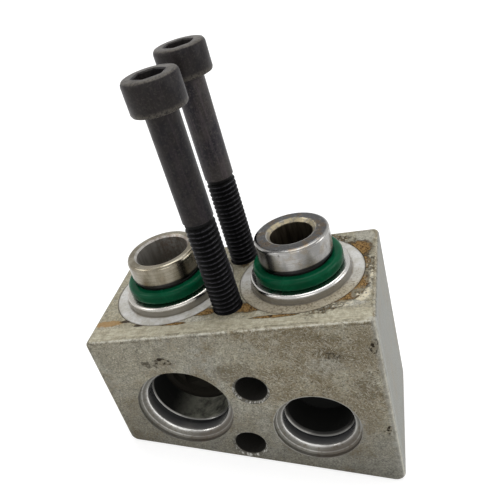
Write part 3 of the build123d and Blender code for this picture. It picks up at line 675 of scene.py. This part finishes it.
class SpigotSurface(Surface):
    """A spigot's surface, with the places, parts and noises that its layers share."""

    def __init__(self, spigot):
        super().__init__(spigot.name)
        self.spigot = spigot
        self.along, self.back, self.height = self.top_frame()
        self.r = self.radius_from(self.along, self.back, spigot.across, 0.0)
        self.below_rim = self.sub(spigot.rim, self.height)

        self.fine = self.noise(self.mm, 2.2, 6.0, 0.72)
        self.blotch = self.field((9.0, 2.0, 5.0), 0.42, 5.0, 0.62)
        self.crumbs = self.field((3.0, 8.0, 5.0), 1.3, 5.0, 0.72)
        round_axis = self.join(self.mul(self.r, 5.0), self.mul(self.height, 5.0), spigot.across)
        self.rings = self.noise(round_axis, 1.0, 4.0, 0.7)

        on_disc = self.step(self.r, COLLAR_RADIUS - 0.10, COLLAR_RADIUS + 0.15)
        self.disc = self.mul(on_disc, self.step(self.height, -0.4, -0.1))
        mouth = self.step(self.r, spigot.mouth + 0.12, spigot.mouth)
        self.bore = self.most(
            self.mul(mouth, self.step(self.below_rim, 0.02, 0.12)),
            self.step(self.r, spigot.bore + 0.35, spigot.bore + 0.15),
        )
        self.groove = self.mul(
            self.band(self.height, COLLAR_TOP + 0.02, NECK_FOOT - 0.05, 0.03),
            self.step(self.r, NECK_RADIUS - 0.05, NECK_RADIUS - 0.30),
            self.step(self.r, GROOVE_RADIUS - 0.3, GROOVE_RADIUS - 0.1),
        )
        above_groove = self.step(self.height, NECK_FOOT - 0.10, NECK_FOOT + 0.05)
        self.neck = self.mul(above_groove, self.inverse(self.bore))

    def up_the_wall(self, across, up, detail, roughness):
        """Noise drawn out along the spigot's axis."""
        sides = (self.mul(self.along, across), self.mul(self.back, across))
        return self.noise(self.join(*sides, self.mul(self.height, up)), 1.0, detail, roughness)


def steel_colour(g):
    """Polished steel, satin and slightly yellowed on the larger spigot, brighter on the other, with
    dark streaks up the neck as painted reflections, a painted highlight on the collar and painted
    shadow at the neck's foot.
    """
    # dark streaks drawn up the neck: painted reflections
    uneven_tone = g.up_the_wall(0.35, 0.12, 3.0, 0.5)
    if g.spigot.grimy:
        dark, light, reflection_streak = STEEL.bright_dark, STEEL.bright_light, STEEL.bright_reflection_streak
        uneven_tone = g.mul(g.neck, g.step(uneven_tone, 0.48, 0.66), 0.60)
    else:
        dark, light, reflection_streak = STEEL.satin_dark, STEEL.satin_light, STEEL.satin_reflection_streak
        uneven_tone = g.mul(g.neck, g.step(uneven_tone, 0.44, 0.60), 0.65)
    collar = g.mul(
        g.step(g.r, COLLAR_RADIUS + 0.10, COLLAR_RADIUS - 0.10),
        g.step(g.height, COLLAR_TOP + 0.15, COLLAR_TOP - 0.05),
    )
    # painted highlight along the collar's top edge, with the wall below it painted darker as shade
    collar_light_and_shade = g.mix(g.step(g.height, 1.0, 1.7), STEEL.collar_shaded_wall, STEEL.collar_highlight)
    # painted shadow: the foot of the neck near black over the gap above the O-ring
    foot = g.mul(g.neck, g.step(g.height, NECK_FOOT + 0.70, NECK_FOOT + 0.45))
    return g.paint(
        g.mix(g.step(g.rings, 0.34, 0.66), dark, light),
        (uneven_tone, reflection_streak),
        (g.mul(g.step(g.blotch, 0.50, 0.64), 0.50), STEEL.stain),
        (g.mul(collar, 0.6), collar_light_and_shade),
        (g.mul(foot, 0.93), STEEL.neck_foot_shadow),
    )


def disc_colour(g):
    """The flat disc in the block's top face, tan and gritty in front on the grimy spigot."""
    flat = g.paint(
        g.mix(g.step(g.blotch, 0.38, 0.64), STEEL.disc_light, STEEL.disc_dark),
        (g.mul(g.step(g.crumbs, 0.56, 0.68), 0.55), STEEL.disc_crumb),
    )
    flat = g.tint(flat, g.add(1.0, g.swing(g.fine, 0.7)))
    if g.spigot.grimy:
        front_side = g.step(g.add(g.back, g.swing(g.blotch, 6.0)), -1.0, -7.0)
        tan = g.mix(g.step(g.fine, 0.42, 0.62), STEEL.disc_tan, STEEL.disc_brown)
        grit = g.mul(
            g.step(g.back, 3.0, -4.0), g.step(g.fine, 0.52, 0.60), g.step(g.blotch, 0.40, 0.52),
        )
        flat = g.paint(flat, (g.mul(front_side, 0.85), tan), (g.mul(grit, 0.75), STEEL.disc_grit))
    outline = g.step(g.r, DISC_RADIUS - 0.35, DISC_RADIUS - 0.05)
    foot = g.band(g.r, COLLAR_RADIUS - 0.05, COLLAR_RADIUS + 0.25, 0.12)
    return g.paint(
        flat, (g.mul(outline, 0.45), STEEL.disc_outline), (g.mul(foot, 0.6), STEEL.disc_foot))


def rim_layers(g):
    """Layers for the rim and the bore: dark and worn on the grimy spigot, clean on the other."""
    wall = g.step(g.up_the_wall(0.8, 0.10, 4.0, 0.6), 0.35, 0.65)
    if not g.spigot.grimy:
        brown = g.mul(g.step(g.add(g.along, g.back), -16.0, -9.0), g.step(g.crumbs, 0.42, 0.60))
        inner = g.mix(wall, STEEL.clean_dark, STEEL.clean_light)
        return ((g.bore, g.mix(g.mul(brown, 0.6), inner, STEEL.clean_brown)),)
    mouth = g.spigot.mouth
    rim = g.mul(
        g.step(g.below_rim, 0.8, 0.35), g.step(g.r, mouth, mouth + 0.2),
        g.step(g.r, NECK_RADIUS - 0.2, NECK_RADIUS - 0.6), g.step(g.crumbs, 0.26, 0.42),
    )
    worn = g.paint(
        g.mix(g.step(g.fine, 0.52, 0.70), STEEL.rim_dark, STEEL.rim_light),
        (g.step(g.blotch, 0.50, 0.60), STEEL.rim_brown),
    )
    inner = g.paint(
        g.mix(wall, STEEL.sooty_dark, STEEL.sooty_light),
        # painted highlight along the mouth's inner edge
        (g.step(g.below_rim, 0.9, 0.5), STEEL.mouth_highlight),
    )
    tan = g.mul(
        g.step(g.r, mouth + 0.5, mouth), g.step(g.below_rim, 0.9, 0.6),
        g.step(g.back, -1.0, 2.0), g.step(g.crumbs, 0.42, 0.54),
    )
    return (g.mul(rim, 0.95), worn), (g.bore, inner), (g.mul(tan, 0.9), STEEL.rim_tan)


def spigot_material(spigot):
    g = SpigotSurface(spigot)
    pits = g.mul(
        g.step(g.cells(g.mm, 0.36), 0.15, 0.09), g.neck, g.step(g.crumbs, 0.45, 0.52),
        0.2 if spigot.grimy else 1.0,
    )
    colour = g.paint(
        steel_colour(g),
        (g.disc, disc_colour(g)),
        (g.mul(pits, 0.9), STEEL.neck_pit),
        *rim_layers(g),
        # the groove near black: dirt and painted shadow in the gap above the O-ring
        (g.groove, STEEL.groove),
    )
    metal = g.blend(g.bore, g.blend(g.disc, 1.0, 0.22), 0.7)
    metal = g.blend(g.groove, metal, 0.2)
    polish = 0.23 if spigot.grimy else 0.24
    rough = g.blend(g.disc, g.add(polish, g.mul(g.step(g.blotch, 0.45, 0.70), 0.12)), 0.48)
    rough = g.blend(g.mul(g.neck, 0.6), rough, g.add(0.24, g.swing(g.fine, 0.12)))
    rough = g.blend(g.groove, g.blend(g.bore, rough, 0.42), 0.6)
    g.bump(
        (g.mul(g.rings, 0.008), 0.5),
        (g.swing(g.fine, g.add(g.mul(g.disc, 0.13), 0.003)), 0.6),
        (g.mul(g.step(g.crumbs, 0.50, 0.66), g.add(g.mul(g.disc, 0.06), 0.001)), 0.8),
        (g.mul(pits, -0.15), 0.9),
    )
    return g.finish(Base_Color=colour, Metallic=metal, Roughness=rough)


# ---- Rubber, screws and plain metals ------------------------------------------------------------
OXIDE = SimpleNamespace(
    dark=(0.0135, 0.0125, 0.0155), light=(0.027, 0.0235, 0.0225), worn=(0.040, 0.037, 0.036),
    # a painted highlight on the heads, and painted glints and shade on the threads
    speck=(0.062, 0.056, 0.050), drawn=(0.050, 0.040, 0.045), rubbed_and_highlit=(0.098, 0.088, 0.074),
    thread=(0.0022, 0.0022, 0.0026), crest_glint=(0.034, 0.032, 0.040), root=(0.0012, 0.0012, 0.0012),
)


def green_rubber_material():
    g = Surface("green_rubber")
    fine = g.noise(g.mm, 3.5, 3.0, 0.6)
    uneven_tone = g.field((4.0, 4.0, 4.0), 0.35, 3.0)
    colour = g.mix(g.step(uneven_tone, 0.35, 0.70), (0.001, 0.055, 0.023), (0.002, 0.075, 0.032))
    rough = g.add(0.20, g.mul(g.step(uneven_tone, 0.4, 0.7), 0.10))
    g.bump((g.swing(fine, 0.006), 0.5))
    return g.finish(Base_Color=colour, Roughness=rough, Specular_IOR_Level=0.07)


def black_rubber_material():
    g = Surface("black_rubber")
    fine = g.noise(g.mm, 3.0, 3.0, 0.6)
    colour = g.mix(fine, (0.012, 0.012, 0.012), (0.026, 0.025, 0.024))
    g.bump((g.mul(fine, 0.01), 0.5))
    return g.finish(Base_Color=colour, Roughness=0.5)


def black_steel_material():
    """Oxide-black screws with drawn shanks, the rear one lighter, heads worn by rubbing with a
    painted highlight, oily threads with painted glints on their crests and oil and painted shade in
    their roots.
    """
    g = Surface("black_oxide_steel")
    along, back, height = g.top_frame()
    rear = g.step(back, -1.0, 1.0)
    off = g.sub(back, g.blend(rear, -SCREW_REACH, SCREW_REACH))
    r = g.hypot(along, off)
    broad = g.field((2.0, 9.0, 6.0), 0.13, 4.0, 0.6)
    worn = g.noise(g.mm, 0.45, 5.0, 0.6)
    fine = g.field((7.0, 1.0, 0.0), 2.4, 5.0, 0.7)
    lengthwise = g.join(g.mul(along, 1.6), g.mul(off, 1.6), g.mul(height, 0.12))
    drawn = g.noise(lengthwise, 1.0, 4.0, 0.65)
    colour = g.paint(
        g.mix(g.step(broad, 0.38, 0.60), OXIDE.dark, OXIDE.light),
        (g.mul(g.step(worn, 0.46, 0.68), 0.5), OXIDE.worn),
        (g.mul(g.step(fine, 0.50, 0.64), 0.45), OXIDE.speck),
        (g.mul(g.step(drawn, 0.46, 0.70), 0.5), OXIDE.drawn),
    )
    rear_shank = g.mul(rear, g.step(height, HEAD_SEAT, HEAD_SEAT - 1.0))
    colour = g.tint(colour, g.add(0.84, g.mul(rear_shank, 0.85)))

    top_face = g.step(height, HEAD_TOP - 0.35, HEAD_TOP - 0.08)
    low_edge = g.band(height, HEAD_SEAT - 0.1, HEAD_SEAT + 0.9, 0.35)
    outside_socket = g.step(r, 2.9, 3.2)
    # heads worn by rubbing, the top face and lower edge lighter as a painted highlight
    rubbed_and_highlit = g.mul(outside_socket, g.most(top_face, low_edge), g.step(fine, 0.34, 0.56))
    thread = g.step(height, THREAD_END, THREAD_END - 0.5)
    # painted glints on the thread crests, and oil and painted shade in the thread roots
    crest_glint = g.mul(thread, g.step(r, THREAD_CREST - 0.06, THREAD_CREST - 0.02))
    root = g.mul(thread, g.step(r, THREAD_CREST - 0.08, THREAD_CREST - 0.30))
    colour = g.paint(
        colour,
        (g.mul(rubbed_and_highlit, 0.80), OXIDE.rubbed_and_highlit),
        (g.mul(thread, 0.95), OXIDE.thread),
        (g.mul(crest_glint, g.step(fine, 0.36, 0.60)), OXIDE.crest_glint),
        (g.mul(root, 0.85), OXIDE.root),
    )
    rough = g.blend(thread, g.add(0.36, g.mul(g.step(worn, 0.4, 0.7), 0.14)), 0.16)
    rough = g.blend(root, rough, 0.6)
    g.bump((g.swing(fine, g.blend(thread, 0.025, 0.008)), 0.5))
    return g.finish(Base_Color=colour, Metallic=0.1, Roughness=rough, Specular_IOR_Level=0.09)


def plain_metal(name, low, high, rough):
    """Clean turned metal, for the pieces inside the block."""
    g = Surface(name)
    fine = g.noise(g.mm, 1.4, 4.0, 0.6)
    lines = g.noise(g.stretch(g.mm, (0.3, 5.0, 5.0)), 1.0, 3.0, 0.6)
    g.bump((g.mul(lines, 0.008), 0.6))
    return g.finish(
        Base_Color=g.mix(fine, low, high), Metallic=1.0,
        Roughness=g.add(rough, g.swing(lines, 0.15)),
    )


def put_material(node, material):
    mesh = nodes[node].data
    for i in range(len(mesh.materials)):
        mesh.materials[i] = material
    if not mesh.materials:
        mesh.materials.append(material)


black_steel = black_steel_material()
inner_steel = plain_metal("inner_steel", (0.42, 0.42, 0.41), (0.60, 0.60, 0.59), 0.25)
brass = plain_metal("turned_brass", (0.52, 0.36, 0.13), (0.70, 0.52, 0.22), 0.28)
aluminium = plain_metal("turned_aluminium", (0.40, 0.395, 0.37), (0.56, 0.55, 0.52), 0.34)
for material, names in (
    (block_material(), ("valve_block",)),
    (spigot_material(SUCTION_SPIGOT), ("suction_spigot",)),
    (spigot_material(LIQUID_SPIGOT), ("liquid_spigot",)),
    (green_rubber_material(), ("suction_spigot_o_ring", "liquid_spigot_o_ring")),
    (black_rubber_material(), ("end_plug_o_ring", "rod_seal")),
    (aluminium, ("end_plug",)),
    (inner_steel, ("element_cover", "charge_plug", "element_diaphragm", "element_base")),
    (inner_steel, ("push_rod", "valve_seat", "valve_ball")),
    (brass, ("stop_pad", "rod_guide", "seal_retainer", "ball_cup", "spring_seat")),
):
    for name in names:
        put_material(name, material)


# ---- Coded pieces: a helical coil spring, and screws with real threads --------------------------
def make_piece(name, vertices, faces, material, crease):
    """A smooth mesh object whose edges stay sharp above the crease angle, in degrees."""
    mesh = bpy.data.meshes.new(name)
    mesh.from_pydata([tuple(v) for v in vertices], [], faces)
    mesh.validate()
    mesh.update()
    for polygon in mesh.polygons:
        polygon.use_smooth = True
    mesh.set_sharp_from_angle(angle=math.radians(crease))
    mesh.materials.append(material)
    piece = bpy.data.objects.new(name, mesh)
    scene.collection.objects.link(piece)
    return piece


def ring_of_faces(first, second, sides):
    """Faces between two rings of vertices, which start at the given numbers."""
    pairs = [(k, (k + 1) % sides) for k in range(sides)]
    return [(first + a, first + b, second + b, second + a) for a, b in pairs]


def coil_spring(name, node, turns, wire):
    """Helical spring along X in the CAD node's place, wire radius in metres."""
    low, high = (Vector(corner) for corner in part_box(node))
    middle = (low + high) / 2
    reach = (high.y - low.y) / 2 - wire
    start, end = low.x + wire, high.x - wire
    per_turn, sides = 48, 16
    count = turns * per_turn
    rise = (end - start) / (2 * math.pi * turns)
    vertices, faces = [], []
    for i in range(count + 1):
        angle = 2 * math.pi * i / per_turn
        outward = Vector((0.0, math.cos(angle), math.sin(angle)))
        forward = Vector((rise, -math.sin(angle) * reach, math.cos(angle) * reach)).normalized()
        across = forward.cross(outward)
        centre = Vector((start + (end - start) * i / count, middle.y, middle.z)) + outward * reach
        for k in range(sides):
            turn = 2 * math.pi * k / sides
            vertices.append(centre + (outward * math.cos(turn) + across * math.sin(turn)) * wire)
    for i in range(count):
        faces += ring_of_faces(i * sides, (i + 1) * sides, sides)
    faces.append(tuple(reversed(range(sides))))
    faces.append(tuple(range(count * sides, (count + 1) * sides)))
    piece = make_piece(name, vertices, faces, inner_steel, crease=50)
    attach(piece, "block")
    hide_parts(node)
    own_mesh(piece)


def clamp(value):
    return min(1.0, max(0.0, value))


def thread_radius(angle, height):
    """M6 thread of 1 mm pitch, with a tapered tip and a relief under the plain shank."""
    pitch, depth = 1.0, THREAD_CREST - THREAD_ROOT
    root_flat, flank = 0.16, 0.70  # shares of half a pitch
    relief, shoulder, run_out = 2.72, 0.15, 0.6
    tip, tip_length = 2.25, 0.8
    phase = (height / pitch - angle / (2 * math.pi)) % 1.0
    rise = abs(phase - 0.5) * 2.0
    radius = THREAD_ROOT + depth * clamp((rise - root_flat) / flank)
    below = THREAD_END - height
    if below < shoulder:
        radius = SHANK_RADIUS - (SHANK_RADIUS - relief) * below / shoulder
    else:
        radius = relief + (radius - relief) * clamp((below - run_out) / run_out)
    return min(radius, tip + (THREAD_CREST - tip) * clamp((height - SCREW_TIP) / tip_length))


def hexagon_radius(angle, half):
    """Radius of a hexagon that measures two halves across its flats."""
    turned = (angle + math.pi / 6) % (math.pi / 3) - math.pi / 6
    return half / math.cos(turned)


def cap_screw(name, back, node, body):
    """M6 socket-head screw turned along the top normal, with a helical thread."""
    shank, head = SHANK_RADIUS, HEAD_RADIUS
    socket, lead, lead_radius, socket_depth, drill_point = 2.5, 0.22, 3.05, 3.0, 0.7
    sides, rings_per_mm = 96, 14
    origin = TOP_CENTRE + Vector((0.0, back, 0.0))
    across = Vector((0.0, 1.0, 0.0))
    angles = [2 * math.pi * k / sides for k in range(sides)]
    vertices, faces = [], []

    def place(radius, angle, height):
        v = origin + ALONG * (radius * math.cos(angle)) + across * (radius * math.sin(angle))
        return (v + NORMAL * height) / MM_PER_METRE

    def add_ring(height, radii):
        """Add a ring of vertices and join it to the one before."""
        first = len(vertices)
        vertices.extend(place(radius, angle, height) for radius, angle in zip(radii, angles))
        if first:
            faces.extend(ring_of_faces(first - sides, first, sides))

    # thread, shank and head, from the tip up
    count = round((THREAD_END - SCREW_TIP) * rings_per_mm)
    for i in range(count + 1):
        height = SCREW_TIP + (THREAD_END - SCREW_TIP) * i / count
        add_ring(height, [thread_radius(angle, height) for angle in angles])
    for radius, height in (
        (shank, HEAD_SEAT - 0.45), (shank + 0.12, HEAD_SEAT - 0.12), (shank + 0.45, HEAD_SEAT),
        (head - 0.55, HEAD_SEAT), (head - 0.16, HEAD_SEAT + 0.14), (head, HEAD_SEAT + 0.5),
        (head, HEAD_TOP - 0.85), (head - 0.10, HEAD_TOP - 0.42), (head - 0.34, HEAD_TOP - 0.12),
        (head - 0.72, HEAD_TOP),
    ):
        add_ring(height, [radius] * sides)
    faces.append(tuple(reversed(range(sides))))

    # hexagon socket: its lead-in, whose corners are rounded, then its walls and drilled floor
    floor = HEAD_TOP - socket_depth
    mouth = [hexagon_radius(angle, socket + lead) for angle in angles]
    add_ring(HEAD_TOP, [min(radius, lead_radius) for radius in mouth])
    for half, height in ((socket, HEAD_TOP - lead), (socket, floor), (socket - 0.5, floor)):
        add_ring(height, [hexagon_radius(angle, half) for angle in angles])
    centre = len(vertices)
    last = centre - sides
    vertices.append(place(0.0, 0.0, floor - drill_point))
    faces += [(last + k, last + (k + 1) % sides, centre) for k in range(sides)]

    piece = make_piece(name, vertices, faces, black_steel, crease=38)
    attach(piece, body)
    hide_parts(node)


coil_spring("valve_coil_spring", "valve_spring", turns=5, wire=0.00035)
cap_screw("front_cap_screw_threaded", -SCREW_REACH, "front_cap_screw", "front_screw")
cap_screw("rear_cap_screw_threaded", SCREW_REACH, "rear_cap_screw", "rear_screw")


# ---- Floor, world, lamps and camera -------------------------------------------------------------
FLOOR_REACH, FLOOR_DROP = 3.0, 0.00005
LAMP_AIM = Vector((0.0, 0.0, 0.03))
# the camera was fitted to the corners of the block and to the screws in the photo
CAMERA_PLACE = Vector((0.01206, -0.1014, 0.11331))
CAMERA_FORWARD = Vector((-0.14837, 0.8154, -0.55956))
CAMERA_RIGHT = Vector((0.98343, 0.18127, 0.0034))
CAMERA_LENS = 45.13


def floor_material():
    """Pale floor that takes the object's shadow, and glows close to white where it is seen."""
    material = bpy.data.materials.new("pale_floor")
    material.use_nodes = True
    g = Graph(material.node_tree)
    matte = g.node("BsdfDiffuse", (("Color", (0.62, 0.62, 0.61)),))[0]
    shade = g.node("BsdfDiffuse", (("Color", (0.42, 0.42, 0.42)),))[0]
    glow = g.node("Emission", (("Color", (1.0, 1.0, 1.0)), ("Strength", 0.72)))[0]
    seen = g.node("AddShader", ((0, shade), (1, glow)))[0]
    g.node("OutputMaterial", (("Surface", g.pick(matte, seen)),))
    return material


def studio_world():
    """Grey room that is lighter above, with a white background."""
    world = bpy.data.worlds.new("studio")
    world.use_nodes = True
    g = Graph(world.node_tree)
    height = g.split(g.node("TexCoord")["Generated"])[2]
    stops = ((0.35, (0.10, 0.10, 0.10)), (0.95, (0.62, 0.62, 0.62)))
    grey = g.ramp(g.math("MULTIPLY_ADD", height, 0.5, 0.5), stops)
    room = g.node("Background", (("Color", grey),))[0]
    white = g.node("Background", (("Color", (1.0, 1.0, 1.0)),))[0]
    g.node("OutputWorld", (("Surface", g.pick(room, white)),))
    return world


def lamp(name, place, size, watts):
    """Rectangular lamp that points at the object."""
    data = bpy.data.lights.new(name, "AREA")
    data.shape = "RECTANGLE"
    data.size, data.size_y = size
    data.energy = watts
    obj = bpy.data.objects.new(name, data)
    scene.collection.objects.link(obj)
    obj.location = place
    obj.rotation_euler = (LAMP_AIM - Vector(place)).to_track_quat("-Z", "Y").to_euler()


corners = ((-1, -1), (1, -1), (1, 1), (-1, 1))
mesh = bpy.data.meshes.new("floor")
mesh.from_pydata([(x * FLOOR_REACH, y * FLOOR_REACH, 0) for x, y in corners], [], [(0, 1, 2, 3)])
mesh.materials.append(floor_material())
floor = bpy.data.objects.new("floor", mesh)
floor.location = (0.0, 0.0, -FLOOR_DROP)
scene.collection.objects.link(floor)

scene.world = studio_world()
lamp("softbox_above", (-0.10, 0.15, 0.60), (0.45, 0.45), 2.4)
lamp("softbox_left", (-0.55, -0.15, 0.30), (0.35, 0.25), 0.8)
lamp("softbox_right", (0.55, 0.05, 0.30), (0.30, 0.30), 1.0)
lamp("softbox_front", (0.10, -0.60, 0.25), (0.40, 0.20), 0.5)

camera_data = bpy.data.cameras.new("camera")
camera_data.sensor_width = 36.0
camera_data.lens = CAMERA_LENS
camera_data.clip_start = 0.01
camera_data.clip_end = 20.0
camera = bpy.data.objects.new("camera", camera_data)
scene.collection.objects.link(camera)
scene.camera = camera
forward = CAMERA_FORWARD.normalized()
right = (CAMERA_RIGHT - forward * CAMERA_RIGHT.dot(forward)).normalized()
up = right.cross(forward)
turn = Matrix((right, up, -forward)).transposed()
camera.matrix_world = Matrix.Translation(CAMERA_PLACE) @ turn.to_4x4()

scene.view_settings.view_transform = "Standard"
